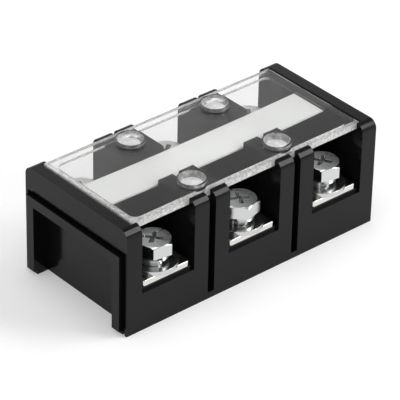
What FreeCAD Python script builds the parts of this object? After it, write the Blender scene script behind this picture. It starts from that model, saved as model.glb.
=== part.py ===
import FreeCAD, Part
import Sketcher
import math
import os

# Barrier terminal strip: three poles in a row, each a flat bar with a hex screw at the front
# and one at the back, in a black moulded base under a clear cover.
# Lengths are in millimetres. +X runs along the row of poles with the joining pad at the low end,
# the front face looks to -Y, and Z = 0 is the surface that the strip is screwed down to.

POLES = (1, 2, 3)
ROWS = ("front", "rear")

doc = FreeCAD.newDocument("barrier_terminal_strip")


# Driving sizes, one named cell each
SIZES = (
    # base moulding
    ("pole_pitch", 31.0, "centre to centre of neighbouring poles"),
    ("entry_width", 18.5, "clear width of a wire entry between its walls"),
    ("end_wall", 5.25, "thickness of each end wall"),
    ("base_depth", 43.8, "front face to rear face"),
    ("base_height", 33.7, "underside to the top of the walls"),
    ("seat_height", 13.3, "underside to the shelf that the bars lie on"),
    ("sill_drop", 1.3, "step from that shelf down to the lip at the front and rear face"),
    ("sill_reach", 0.9, "depth of that lip, measured from the face inwards"),
    ("rib_thickness", 10.0, "wall between front and rear wire entries"),
    ("wall_top_radius", 2.6, "round on the front and rear top edges of the walls"),
    ("end_lip", 4.0, "thickness of each end wall beside the cover, above the ledge it rests on"),
    ("wall_edge_radius", 0.6, "round on the inner top edges of the end walls"),
    # slits that part each barrier into two walls
    ("slit_width", 2.3, "gap between the two walls of a barrier"),
    ("slit_length", 16.4, "depth of a slit, measured from the face inwards"),
    ("slit_floor", 2.0, "material left under a slit"),
    # joining pad at the low end
    ("pad_proud", 1.3, "how far the joining pad stands out of the end wall"),
    ("pad_inset", 1.75, "end wall left uncovered beside the pad"),
    ("pad_top", 25.6, "height of the pad's upper edge"),
    ("pad_bottom", 1.3, "height of the pad's lower ends"),
    ("pad_leg", 3.1, "width of each leg of the pad"),
    ("pad_bridge", 3.0, "height of the bar across the top of the pad"),
    ("recess_depth", 3.7, "depth of the hollow behind the pad, past the end wall's face"),
    ("groove_width", 0.8, "groove that runs round the outside of the pad"),
    ("groove_depth", 1.4, "depth of that groove"),
    # cover
    ("cover_inset", 2.8, "cover's long edges behind the front and rear faces"),
    ("cover_plate", 1.2, "thickness of the cover's plate"),
    ("cover_rim", 2.0, "height of the rim round the cover, plate included"),
    ("rim_width", 2.2, "width of that rim"),
    ("rim_corner", 2.2, "inner corner radius of the rim"),
    ("cover_gap", 0.15, "clearance between the cover's long edges and the barriers"),
    ("cover_play", 0.3, "clearance between each end of the cover and the end wall"),
    ("seat_gap", 0.02, "clearance between the cover's plate and the barriers under it"),
    ("cap_diameter", 8.4, "outside of the cups that close the mounting holes"),
    ("cap_rise", 1.1, "how far a cup stands above the cover"),
    ("cap_reach", 6.0, "how far a cup reaches below the cover's plate"),
    ("cap_wall", 0.9, "wall of a cup at its mouth"),
    ("cap_floor", 1.0, "floor of a cup"),
    ("cap_taper", 6.0, "taper of a cup's inside, in degrees"),
    ("cap_spacing", 26.3, "distance between the front and rear cups"),
    ("tab_width", 1.9, "tabs that reach down into the slits"),
    ("tab_thickness", 1.3, "thickness of a tab"),
    ("tab_length", 3.2, "length of a tab below the rim"),
    # mounting holes
    ("socket_gap", 0.15, "clearance round a cup in its socket"),
    ("socket_depth", 13.0, "depth of a socket from the top of the walls"),
    ("mounting_hole", 4.6, "diameter of the mounting holes"),
    # marking strip
    ("channel_width", 12.5, "channel across the barriers that the marking strip lies in"),
    ("channel_depth", 3.4, "depth of the channel from the top of the walls"),
    ("strip_width", 12.0, "width of the marking strip"),
    ("strip_thickness", 0.6, "thickness of the marking strip"),
    ("strip_end_gap", 0.4, "gap between the marking strip and each end wall"),
    ("strip_bow", 0.5, "rise of the marking strip's ends above its middle"),
    # current bars
    ("bar_width", 16.4, "width of a bar"),
    ("bar_thickness", 1.8, "thickness of a bar"),
    ("bar_setback", 0.8, "bar's ends behind the front and rear faces"),
    ("bar_corner", 0.8, "corner radius of a bar"),
    ("bar_gap", 0.15, "clearance of a bar in its slot through the rib"),
    ("bar_hole", 6.4, "hole in a bar for its screw"),
    # screws and what they carry
    ("screw_inset", 6.4, "screw centre behind the front or rear face"),
    ("screw_diameter", 6.0, "outside of the screw's thread"),
    ("screw_length", 14.0, "length under the head"),
    ("screw_tip", 0.8, "chamfer at the screw's tip"),
    ("head_flats", 10.0, "width across the flats of the head"),
    ("head_height", 3.9, "height of the head"),
    ("head_crown", 9.8, "diameter of the flat top of the head"),
    ("recess_length", 5.8, "length of the cross recess"),
    ("recess_slot", 1.3, "width of the cross recess"),
    ("recess_sink", 2.0, "depth of the cross recess"),
    ("washer_diameter", 13.9, "outside of the flat washer"),
    ("washer_hole", 6.4, "hole of the flat washer"),
    ("washer_thickness", 1.3, "thickness of the flat washer"),
    ("spring_hole", 6.2, "hole of the spring washer"),
    ("spring_width", 1.2, "width of the spring washer's section"),
    ("spring_thickness", 1.65, "height of the spring washer's section"),
    ("spring_rise", 1.2, "how far the ends of the spring washer stand apart in height"),
    ("spring_gap", 0.02, "clearance over the spring washer"),
    ("nut_side", 10.0, "side of the square nut"),
    ("nut_height", 5.0, "height of the square nut"),
    ("nut_gap", 0.1, "clearance round and under the nut"),
    ("thread_gap", 0.05, "radial clearance between the screw and the nut"),
    ("tip_hole", 7.0, "hole in the base that the screw's tip runs in"),
    ("tip_room", 1.2, "room under the screw's tip"),
)

# Sizes that follow from the driving ones
DERIVED = (
    ("frame_shift", "=Sizes.pad_proud / 2"),
    ("base_length", "=2 * Sizes.pole_pitch + Sizes.entry_width + 2 * Sizes.end_wall"),
    ("inner_half", "=base_length / 2 - Sizes.end_wall"),
    ("half_depth", "=Sizes.base_depth / 2"),
    ("cover_half_depth", "=half_depth - Sizes.cover_inset"),
    ("seat_half", "=base_length / 2 - Sizes.end_lip"),
    ("cover_half_length", "=seat_half - Sizes.cover_play"),
    ("screw_offset", "=half_depth - Sizes.screw_inset"),
    ("cap_offset", "=Sizes.cap_spacing / 2"),
    ("bar_length", "=Sizes.base_depth - 2 * Sizes.bar_setback"),
    ("bar_top", "=Sizes.seat_height + Sizes.bar_thickness"),
    ("washer_top", "=bar_top + Sizes.washer_thickness"),
    ("spring_height", "=Sizes.spring_thickness + Sizes.spring_rise"),
    ("head_base", "=washer_top + spring_height + 2 * Sizes.spring_gap"),
    ("nut_base", "=Sizes.seat_height - Sizes.nut_height"),
    ("tip_floor", "=head_base - Sizes.screw_length - Sizes.tip_room"),
    ("cover_top", "=Sizes.base_height"),
    ("rim_base", "=cover_top - Sizes.cover_rim"),
    ("channel_floor", "=Sizes.base_height - Sizes.channel_depth"),
    ("pad_half", "=half_depth - Sizes.pad_inset"),
    ("recess_half", "=pad_half - Sizes.pad_leg"),
    ("recess_top", "=Sizes.pad_top - Sizes.pad_bridge"),
    ("strip_half", "=inner_half - Sizes.strip_end_gap"),
    ("strip_radius", "=(strip_half ^ 2 + Sizes.strip_bow ^ 2) / (2 * Sizes.strip_bow)"),
)

sizes = doc.addObject("Spreadsheet::Sheet", "Sizes")
for row, (name, value, meaning) in enumerate(SIZES, start=1):
    sizes.set("A%d" % row, meaning)
    sizes.set("B%d" % row, str(value))
    sizes.setAlias("B%d" % row, name)

derived = doc.addObject("Spreadsheet::Sheet", "Derived")
doc.recompute()
for row, (name, formula) in enumerate(DERIVED, start=1):
    derived.set("A%d" % row, formula)
    derived.setAlias("A%d" % row, name)
    doc.recompute()


# Sketch helpers

def new_body(label):
    """Empty body that becomes one sub-part."""
    body = doc.addObject("PartDesign::Body", label)
    body.Label = label
    return body


def new_sketch(body, name, role, height=None):
    """Sketch on an origin plane of the body, moved along the plane's normal."""
    sketch = body.newObject("Sketcher::SketchObject", name)
    plane = next(item for item in body.Origin.OriginFeatures if item.Role == role)
    sketch.AttachmentSupport = [(plane, "")]
    sketch.MapMode = "FlatFace"
    if height is not None:
        sketch.setExpression("AttachmentOffset.Base.z", height)
    return sketch


def drive(sketch, kind, geometry, point, expression, start):
    """Distance from the sketch's origin to a point, tied to an expression."""
    index = sketch.addConstraint(Sketcher.Constraint(kind, -1, 1, geometry, point, start))
    name = "size_%d" % index
    sketch.renameConstraint(index, name)
    sketch.setExpression("Constraints." + name, expression)


def add_polygon(sketch, corners):
    """Closed outline with each corner's two distances tied to expressions."""
    count = len(corners)
    first = sketch.GeometryCount
    turn = 2 * math.pi / count
    spots = [FreeCAD.Vector(math.cos(turn * k), math.sin(turn * k), 0) for k in range(count)]
    for k in range(count):
        sketch.addGeometry(Part.LineSegment(spots[k], spots[(k + 1) % count]), False)
    for k in range(count):
        follower = first + (k + 1) % count
        sketch.addConstraint(Sketcher.Constraint("Coincident", first + k, 2, follower, 1))
    for k, (across, along) in enumerate(corners):
        drive(sketch, "DistanceX", first + k, 1, across, spots[k].x)
        drive(sketch, "DistanceY", first + k, 1, along, spots[k].y)


def add_rectangle(sketch, low_x, high_x, low_y, high_y):
    """Rectangle given by its four sides."""
    add_polygon(sketch, [(low_x, low_y), (high_x, low_y), (high_x, high_y), (low_x, high_y)])


def add_circle(sketch, across, along, diameter):
    """Circle with its centre and diameter tied to expressions."""
    index = sketch.addGeometry(Part.Circle(FreeCAD.Vector(0, 0, 0), FreeCAD.Vector(0, 0, 1), 1.0), False)
    drive(sketch, "DistanceX", index, 3, across, 0.0)
    drive(sketch, "DistanceY", index, 3, along, 0.0)
    size = sketch.addConstraint(Sketcher.Constraint("Diameter", index, 2.0))
    name = "size_%d" % size
    sketch.renameConstraint(size, name)
    sketch.setExpression("Constraints." + name, diameter)


# Feature helpers

def volume_of(body):
    """Volume of the body as it is built so far."""
    doc.recompute()
    return body.Shape.Volume if body.Tip else 0.0


def extrude(body, kind, sketch, name, length, away=False, taper=None):
    """Pad or Pocket of a sketch; a pad has to add material and a pocket to remove some."""
    before = volume_of(body) if body.Tip else 0.0
    feature = body.newObject("PartDesign::" + kind, name)
    feature.Profile = sketch
    feature.Reversed = away
    feature.setExpression("Length", length)
    if taper is not None:
        feature.setExpression("TaperAngle", taper)
    doc.recompute()
    change = feature.Shape.Volume - before
    wrong = change <= 0 if kind == "Pad" else change >= 0
    if wrong:
        raise ValueError("%s of %s changes nothing" % (name, body.Label))
    return feature


def repeat_along_row(body, feature, name, count):
    """Repeat a feature at the pole pitch, towards +X."""
    pattern = body.newObject("PartDesign::LinearPattern", name)
    pattern.Originals = [feature]
    axis = next(item for item in body.Origin.OriginFeatures if item.Role == "X_Axis")
    pattern.Direction = (axis, [""])
    pattern.Occurrences = count
    pattern.setExpression("Length", "Sizes.pole_pitch * %d" % (count - 1))
    body.Tip = pattern
    doc.recompute()
    return pattern


def edges_where(feature, test):
    """Names of the feature's edges whose every vertex passes the test."""
    names = []
    for index, edge in enumerate(feature.Shape.Edges, start=1):
        if all(test(vertex.Point) for vertex in edge.Vertexes):
            names.append("Edge%d" % index)
    return names


def dress(body, kind, base, name, edges, prop, expression):
    """Fillet or Chamfer on the named edges."""
    feature = body.newObject("PartDesign::" + kind, name)
    feature.Base = (base, edges)
    feature.setExpression(prop, expression)
    doc.recompute()
    return feature


def near(value, target):
    """True where two lengths are the same."""
    return abs(value - target) < 1e-4


def place(body, across="0", along="0", height="0"):
    """Put a body at its place in the strip's own frame."""
    body.setExpression("Placement.Base.x", "Derived.frame_shift + (%s)" % across)
    body.setExpression("Placement.Base.y", along)
    body.setExpression("Placement.Base.z", height)


def pole_across(pole):
    """Expression for a pole's place along the row."""
    return "Sizes.pole_pitch * %d" % (pole - 2)


def row_along(row):
    """Expression for a row's screw centre: front is towards -Y."""
    sign = "-" if row == "front" else ""
    return sign + "Derived.screw_offset"


# Base moulding

def make_housing():
    """Base moulding: end walls, slit barriers, shelf, rib, sockets and joining pad."""
    body = new_body("housing")

    outline = new_sketch(body, "base_outline", "XY_Plane")
    half_length = "Derived.base_length / 2"
    add_rectangle(outline, "-" + half_length, half_length, "-Derived.half_depth", "Derived.half_depth")
    block = extrude(body, "Pad", outline, "base_block", "Sizes.base_height")

    top = sizes.base_height
    face = derived.half_depth
    crest = edges_where(block, lambda p: near(p.z, top) and near(abs(p.y), face))
    crest = [name for name in crest if near(block.Shape.getElement(name).Length, derived.base_length)]
    dress(body, "Fillet", block, "wall_top_round", crest, "Radius", "Sizes.wall_top_radius")

    entry = new_sketch(body, "entry_outline", "XY_Plane", "Sizes.base_height")
    low_x = "-Sizes.pole_pitch - Sizes.entry_width / 2"
    high_x = "-Sizes.pole_pitch + Sizes.entry_width / 2"
    past_face = "(Derived.half_depth + Sizes.end_wall)"
    rib = "Sizes.rib_thickness / 2"
    add_rectangle(entry, low_x, high_x, "-" + past_face, "-" + rib)
    add_rectangle(entry, low_x, high_x, rib, past_face)
    depth = "Sizes.base_height - Sizes.seat_height"
    first = extrude(body, "Pocket", entry, "entry_cut", depth)
    repeat_along_row(body, first, "entry_row", len(POLES))

    lip = new_sketch(body, "sill_outline", "XY_Plane", "Sizes.seat_height")
    lip_end = "(Derived.half_depth - Sizes.sill_reach)"
    add_rectangle(lip, low_x, high_x, "-" + past_face, "-" + lip_end)
    add_rectangle(lip, low_x, high_x, lip_end, past_face)
    first = extrude(body, "Pocket", lip, "sill_step", "Sizes.sill_drop")
    repeat_along_row(body, first, "sill_row", len(POLES))

    seat = new_sketch(body, "cover_seat_outline", "XY_Plane", "Sizes.base_height")
    edge = "(Derived.cover_half_depth + Sizes.cover_gap)"
    add_rectangle(seat, "-Derived.seat_half", "Derived.seat_half", "-" + edge, edge)
    well = extrude(body, "Pocket", seat, "cover_seat", "Sizes.cover_plate + Sizes.seat_gap")
    seat_side = derived.seat_half
    inner_tops = edges_where(well, lambda p: near(p.z, top) and near(abs(p.x), seat_side))
    dress(body, "Fillet", well, "wall_edge_round", inner_tops, "Radius", "Sizes.wall_edge_radius")

    rabbet = new_sketch(body, "rim_rabbet_outline", "XY_Plane", "Sizes.base_height")
    inner = "(Derived.cover_half_depth - Sizes.rim_width - Sizes.cover_gap)"
    add_rectangle(rabbet, "-Derived.seat_half", "Derived.seat_half", "-" + edge, "-" + inner)
    add_rectangle(rabbet, "-Derived.seat_half", "Derived.seat_half", inner, edge)
    extrude(body, "Pocket", rabbet, "rim_rabbet", "Sizes.cover_rim + Sizes.seat_gap")

    ledge = new_sketch(body, "end_ledge_outline", "XY_Plane", "Sizes.base_height")
    add_rectangle(ledge, "-Derived.seat_half", "-Derived.inner_half", "-" + edge, edge)
    add_rectangle(ledge, "Derived.inner_half", "Derived.seat_half", "-" + edge, edge)
    extrude(body, "Pocket", ledge, "end_ledges", "Sizes.cover_rim + Sizes.seat_gap")

    channel = new_sketch(body, "channel_outline", "XY_Plane", "Sizes.base_height")
    side = "Sizes.channel_width / 2"
    add_rectangle(channel, "-Derived.inner_half", "Derived.inner_half", "-" + side, side)
    extrude(body, "Pocket", channel, "strip_channel", "Sizes.channel_depth")

    slit = new_sketch(body, "slit_outline", "XY_Plane", "Sizes.base_height")
    low_x = "-Sizes.pole_pitch / 2 - Sizes.slit_width / 2"
    high_x = "-Sizes.pole_pitch / 2 + Sizes.slit_width / 2"
    slit_end = "(Derived.half_depth - Sizes.slit_length)"
    add_rectangle(slit, low_x, high_x, "-" + past_face, "-" + slit_end)
    add_rectangle(slit, low_x, high_x, slit_end, past_face)
    first = extrude(body, "Pocket", slit, "slit_cut", "Sizes.base_height - Sizes.slit_floor")
    repeat_along_row(body, first, "slit_row", len(POLES) - 1)

    sockets = new_sketch(body, "socket_outline", "XY_Plane", "Sizes.base_height")
    holes = new_sketch(body, "mounting_hole_outline", "XY_Plane", "Sizes.base_height")
    for across in ("-Sizes.pole_pitch / 2", "Sizes.pole_pitch / 2"):
        for along in ("-Derived.cap_offset", "Derived.cap_offset"):
            add_circle(sockets, across, along, "Sizes.cap_diameter + 2 * Sizes.socket_gap")
            add_circle(holes, across, along, "Sizes.mounting_hole")
    extrude(body, "Pocket", sockets, "cap_sockets", "Sizes.socket_depth")
    extrude(body, "Pocket", holes, "mounting_holes", "Sizes.base_height")

    tunnel = new_sketch(body, "bar_slot_outline", "XZ_Plane")
    half_bar = "(Sizes.bar_width / 2 + Sizes.bar_gap)"
    roof = "Derived.bar_top + Sizes.bar_gap"
    left_pole = "-Sizes.pole_pitch"
    add_rectangle(tunnel, left_pole + " - " + half_bar, left_pole + " + " + half_bar, "Sizes.seat_height", roof)
    slot = body.newObject("PartDesign::Pocket", "bar_slot")
    slot.Profile = tunnel
    slot.Midplane = True
    slot.setExpression("Length", "Sizes.base_depth")
    doc.recompute()
    repeat_along_row(body, slot, "bar_slot_row", len(POLES))

    nuts = new_sketch(body, "nut_pocket_outline", "XY_Plane", "Sizes.seat_height")
    tips = new_sketch(body, "tip_hole_outline", "XY_Plane", "Sizes.seat_height")
    half_nut = "(Sizes.nut_side / 2 + Sizes.nut_gap)"
    for along in ("-Derived.screw_offset", "Derived.screw_offset"):
        add_rectangle(nuts, left_pole + " - " + half_nut, left_pole + " + " + half_nut,
                      along + " - " + half_nut, along + " + " + half_nut)
        add_circle(tips, left_pole, along, "Sizes.tip_hole")
    first = extrude(body, "Pocket", nuts, "nut_pockets", "Sizes.nut_height + Sizes.nut_gap")
    repeat_along_row(body, first, "nut_pocket_row", len(POLES))
    first = extrude(body, "Pocket", tips, "tip_holes", "Sizes.seat_height - Derived.tip_floor")
    repeat_along_row(body, first, "tip_hole_row", len(POLES))

    # The groove, the proud pad and the hollow behind it, all on the low end wall
    end_face = "-Derived.base_length / 2"
    groove = new_sketch(body, "pad_groove_outline", "YZ_Plane", end_face)
    outer = "(Derived.pad_half + Sizes.groove_width)"
    groove_top = "Sizes.pad_top + Sizes.groove_width"
    below = "-Sizes.pad_bottom"
    add_polygon(groove, [
        ("-" + outer, below), ("-" + outer, groove_top), (outer, groove_top), (outer, below),
        ("Derived.pad_half", below), ("Derived.pad_half", "Sizes.pad_top"),
        ("-Derived.pad_half", "Sizes.pad_top"), ("-Derived.pad_half", below)])
    extrude(body, "Pocket", groove, "pad_groove", "Sizes.groove_depth", away=True)

    pad = new_sketch(body, "pad_outline", "YZ_Plane", end_face)
    leg = "Derived.recess_half"
    add_polygon(pad, [
        ("-Derived.pad_half", "Sizes.pad_bottom"), ("-Derived.pad_half", "Sizes.pad_top"),
        ("Derived.pad_half", "Sizes.pad_top"), ("Derived.pad_half", "Sizes.pad_bottom"),
        (leg, "Sizes.pad_bottom"), (leg, "Derived.recess_top"),
        ("-" + leg, "Derived.recess_top"), ("-" + leg, "Sizes.pad_bottom")])
    extrude(body, "Pad", pad, "joining_pad", "Sizes.pad_proud", away=True)

    hollow = new_sketch(body, "pad_recess_outline", "YZ_Plane", end_face)
    add_rectangle(hollow, "-" + leg, leg, below, "Derived.recess_top")
    extrude(body, "Pocket", hollow, "pad_recess", "Sizes.recess_depth", away=True)

    place(body)
    return body


# Cover

def make_cover():
    """Clear cover: plate with a rim under it, four cups and four tabs."""
    body = new_body("cover")

    outline = new_sketch(body, "cover_outline", "XY_Plane", "Derived.cover_top")
    length = "Derived.cover_half_length"
    depth = "Derived.cover_half_depth"
    add_rectangle(outline, "-" + length, length, "-" + depth, depth)
    extrude(body, "Pad", outline, "cover_slab", "Sizes.cover_rim", away=True)

    inside = new_sketch(body, "rim_outline", "XY_Plane", "Derived.rim_base")
    inner_x = "(%s - Sizes.rim_width)" % length
    inner_y = "(%s - Sizes.rim_width)" % depth
    add_rectangle(inside, "-" + inner_x, inner_x, "-" + inner_y, inner_y)
    hollow = extrude(body, "Pocket", inside, "cover_hollow", "Sizes.cover_rim - Sizes.cover_plate", away=True)

    low = derived.rim_base
    high = derived.cover_top - sizes.cover_plate
    edge_x = derived.cover_half_length - sizes.rim_width
    corners = [name for name in edges_where(hollow, lambda p: near(abs(p.x), edge_x))
               if near(hollow.Shape.getElement(name).Length, high - low)]
    dress(body, "Fillet", hollow, "rim_inner_round", corners, "Radius", "Sizes.rim_corner")

    tabs = new_sketch(body, "tab_outline", "XY_Plane", "Derived.rim_base")
    outer = new_sketch(body, "cap_outline", "XY_Plane", "Derived.cover_top + Sizes.cap_rise")
    inner = new_sketch(body, "cap_hollow_outline", "XY_Plane", "Derived.cover_top + Sizes.cap_rise")
    half_tab = "Sizes.tab_width / 2"
    for across in ("-Sizes.pole_pitch / 2", "Sizes.pole_pitch / 2"):
        low_x = across + " - " + half_tab
        high_x = across + " + " + half_tab
        back = "(Derived.cover_half_depth - Sizes.tab_thickness)"
        add_rectangle(tabs, low_x, high_x, "-Derived.cover_half_depth", "-" + back)
        add_rectangle(tabs, low_x, high_x, back, "Derived.cover_half_depth")
        for along in ("-Derived.cap_offset", "Derived.cap_offset"):
            add_circle(outer, across, along, "Sizes.cap_diameter")
            add_circle(inner, across, along, "Sizes.cap_diameter - 2 * Sizes.cap_wall")
    extrude(body, "Pad", tabs, "slit_tabs", "Sizes.tab_length", away=True)
    cap_height = "Sizes.cap_rise + Sizes.cover_plate + Sizes.cap_reach"
    extrude(body, "Pad", outer, "cap_walls", cap_height, away=True)
    extrude(body, "Pocket", inner, "cap_hollows", cap_height + " - Sizes.cap_floor",
            taper="-Sizes.cap_taper")

    place(body)
    return body


# Marking strip

def make_marking_strip():
    """Thin white strip in the channel, bowed so that its ends stand a little higher."""
    body = new_body("marking_strip")
    profile = new_sketch(body, "strip_profile", "XZ_Plane")
    ends = []
    for lift in ("0", "Sizes.strip_thickness"):
        start = FreeCAD.Vector(-1, 1, 0)
        middle = FreeCAD.Vector(0, 0, 0)
        finish = FreeCAD.Vector(1, 1, 0)
        arc = profile.addGeometry(Part.Arc(start, middle, finish), False)
        rise = "Sizes.strip_bow + " + lift
        drive(profile, "DistanceX", arc, 1, "-Derived.strip_half", -1.0)
        drive(profile, "DistanceY", arc, 1, rise, 1.0)
        drive(profile, "DistanceX", arc, 2, "Derived.strip_half", 1.0)
        drive(profile, "DistanceY", arc, 2, rise, 1.0)
        drive(profile, "DistanceY", arc, 3, "Derived.strip_radius + " + lift, 1.0)
        ends.append(arc)
    for point in (1, 2):
        side = profile.addGeometry(Part.LineSegment(FreeCAD.Vector(0, 2, 0), FreeCAD.Vector(0, 3, 0)), False)
        profile.addConstraint(Sketcher.Constraint("Coincident", side, 1, ends[0], point))
        profile.addConstraint(Sketcher.Constraint("Coincident", side, 2, ends[1], point))
    strip = body.newObject("PartDesign::Pad", "strip_sheet")
    strip.Profile = profile
    strip.Midplane = True
    strip.setExpression("Length", "Sizes.strip_width")
    place(body, height="Derived.channel_floor")
    return body


# Current bar

def make_bar(pole):
    """Flat bar through the base with a hole for each of its two screws."""
    body = new_body("terminal_bar_%d" % pole)
    outline = new_sketch(body, "bar_outline", "XY_Plane")
    add_rectangle(outline, "-Sizes.bar_width / 2", "Sizes.bar_width / 2",
                  "-Derived.bar_length / 2", "Derived.bar_length / 2")
    plate = extrude(body, "Pad", outline, "bar_plate", "Sizes.bar_thickness")
    upright = [name for name in edges_where(plate, lambda p: True)
               if near(plate.Shape.getElement(name).Length, sizes.bar_thickness)]
    dress(body, "Fillet", plate, "bar_corners", upright, "Radius", "Sizes.bar_corner")
    holes = new_sketch(body, "bar_hole_outline", "XY_Plane", "Sizes.bar_thickness")
    for along in ("-Derived.screw_offset", "Derived.screw_offset"):
        add_circle(holes, "0", along, "Sizes.bar_hole")
    extrude(body, "Pocket", holes, "bar_holes", "Sizes.bar_thickness")
    place(body, pole_across(pole), height="Sizes.seat_height")
    return body


# Screws, washers and nuts

# Turn of each screw about its own axis, in degrees
SCREW_TURN = {"front": (-9.0, 14.6, -13.0), "rear": (24.0, -5.0, 11.0)}
# Where the gap of each spring washer stands, in degrees
SPRING_TURN = {"front": (250.0, 205.0, 222.0), "rear": (60.0, 118.0, 15.0)}
SPRING_SWEEP = 0.96
HEAD_CHAMFER = 30.0
RECESS_TAPER = 12.0
# Turn of the cross recess against the corners of the head
RECESS_TURN = 45.0


def make_screw(row, pole):
    """Hex screw with a chamfered head and a cross recess."""
    body = new_body("screw_%s_%d" % (row, pole))
    hexagon = new_sketch(body, "head_outline", "XY_Plane")
    side = "Sizes.head_flats / sqrt(3)"
    flat = "Sizes.head_flats / 2"
    add_polygon(hexagon, [
        (side, "0"), (side + " / 2", flat), ("-" + side + " / 2", flat),
        ("-" + side, "0"), ("-" + side + " / 2", "-" + flat), (side + " / 2", "-" + flat)])
    extrude(body, "Pad", hexagon, "head", "Sizes.head_height")

    cone = new_sketch(body, "head_chamfer_outline", "XZ_Plane")
    crown = "Sizes.head_crown / 2"
    past = "Sizes.head_flats"
    drop = "Sizes.head_height - (%s - %s) * tan(%g deg)" % (past, crown, HEAD_CHAMFER)
    add_polygon(cone, [(crown, "Sizes.head_height"), (past, drop), (past, "Sizes.head_height")])
    groove = body.newObject("PartDesign::Groove", "head_chamfer")
    groove.Profile = cone
    groove.ReferenceAxis = (cone, ["V_Axis"])
    groove.Angle = 360.0
    doc.recompute()

    shank = new_sketch(body, "shank_outline", "XY_Plane")
    add_circle(shank, "0", "0", "Sizes.screw_diameter")
    stem = extrude(body, "Pad", shank, "shank", "Sizes.screw_length", away=True)
    end = -sizes.screw_length
    tip = edges_where(stem, lambda p: near(p.z, end))
    dress(body, "Chamfer", stem, "tip_chamfer", tip, "Size", "Sizes.screw_tip")

    cross = new_sketch(body, "recess_outline", "XY_Plane", "Sizes.head_height")
    cross.AttachmentOffset.Rotation = FreeCAD.Rotation(FreeCAD.Vector(0, 0, 1), RECESS_TURN)
    reach = "Sizes.recess_length / 2"
    half = "Sizes.recess_slot / 2"
    add_polygon(cross, [
        (reach, "-" + half), (reach, half), (half, half), (half, reach),
        ("-" + half, reach), ("-" + half, half), ("-" + reach, half), ("-" + reach, "-" + half),
        ("-" + half, "-" + half), ("-" + half, "-" + reach), (half, "-" + reach), (half, "-" + half)])
    extrude(body, "Pocket", cross, "cross_recess", "Sizes.recess_sink", taper="-%g" % RECESS_TAPER)

    body.Placement.Rotation = FreeCAD.Rotation(FreeCAD.Vector(0, 0, 1), SCREW_TURN[row][pole - 1])
    place(body, pole_across(pole), row_along(row), "Derived.head_base")
    return body


def make_flat_washer(row, pole):
    """Plain washer between the spring washer and the bar."""
    body = new_body("flat_washer_%s_%d" % (row, pole))
    ring = new_sketch(body, "washer_outline", "XY_Plane")
    add_circle(ring, "0", "0", "Sizes.washer_diameter")
    add_circle(ring, "0", "0", "Sizes.washer_hole")
    extrude(body, "Pad", ring, "washer_ring", "Sizes.washer_thickness")
    place(body, pole_across(pole), row_along(row), "Derived.bar_top")
    return body


def make_spring_washer(row, pole):
    """Split washer: one turn of a rectangular section whose ends stand apart in height."""
    body = new_body("spring_washer_%s_%d" % (row, pole))
    section = new_sketch(body, "spring_section", "XZ_Plane")
    inner = "Sizes.spring_hole / 2"
    outer = "Sizes.spring_hole / 2 + Sizes.spring_width"
    add_rectangle(section, inner, outer, "0", "Sizes.spring_thickness")
    coil = body.newObject("PartDesign::AdditiveHelix", "spring_coil")
    coil.Profile = section
    coil.ReferenceAxis = (section, ["V_Axis"])
    coil.Mode = "height-turns-angle"
    coil.setExpression("Height", "Sizes.spring_rise")
    coil.Turns = SPRING_SWEEP
    coil.LeftHanded = True
    doc.recompute()
    body.Placement.Rotation = FreeCAD.Rotation(FreeCAD.Vector(0, 0, 1), SPRING_TURN[row][pole - 1])
    place(body, pole_across(pole), row_along(row), "Derived.washer_top + Sizes.spring_gap")
    return body


def make_nut(row, pole):
    """Square nut held in the base under the bar."""
    body = new_body("nut_%s_%d" % (row, pole))
    outline = new_sketch(body, "nut_outline", "XY_Plane")
    half = "Sizes.nut_side / 2"
    add_rectangle(outline, "-" + half, half, "-" + half, half)
    add_circle(outline, "0", "0", "Sizes.screw_diameter + 2 * Sizes.thread_gap")
    extrude(body, "Pad", outline, "nut_block", "Sizes.nut_height")
    place(body, pole_across(pole), row_along(row), "Derived.nut_base")
    return body


parts = [make_housing(), make_cover(), make_marking_strip()]
parts += [make_bar(pole) for pole in POLES]
for row_name in ROWS:
    for pole_number in POLES:
        parts.append(make_screw(row_name, pole_number))
        parts.append(make_spring_washer(row_name, pole_number))
        parts.append(make_flat_washer(row_name, pole_number))
        parts.append(make_nut(row_name, pole_number))
doc.recompute()

for item in doc.Objects:
    if "Invalid" in item.State or "Error" in item.State:
        raise RuntimeError("%s did not recompute: %s" % (item.Label, item.State))
for part in parts:
    if part.Shape.isNull() or not part.Shape.isValid():
        raise RuntimeError("%s has no valid shape" % part.Label)

os.makedirs("parts", exist_ok=True)
for part in parts:
    part.Shape.exportStep("parts/%s.step" % part.Label)
    print("%-22s solids %d volume %.1f mm3" % (part.Label, len(part.Shape.Solids), part.Shape.Volume))
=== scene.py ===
"""Looks of a three-pole barrier terminal strip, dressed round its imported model.

The strip has a glossy black base with open wire entries, a clear lift-off cover over a white
marking strip, and in each entry a plated bar with a hex screw, a spring washer and a flat washer.
Every length is in metres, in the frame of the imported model.
"""

import logging
import math
from dataclasses import dataclass
from enum import Enum
from typing import Iterable

import bmesh
import bpy
from mathutils import Matrix, Vector


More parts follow.
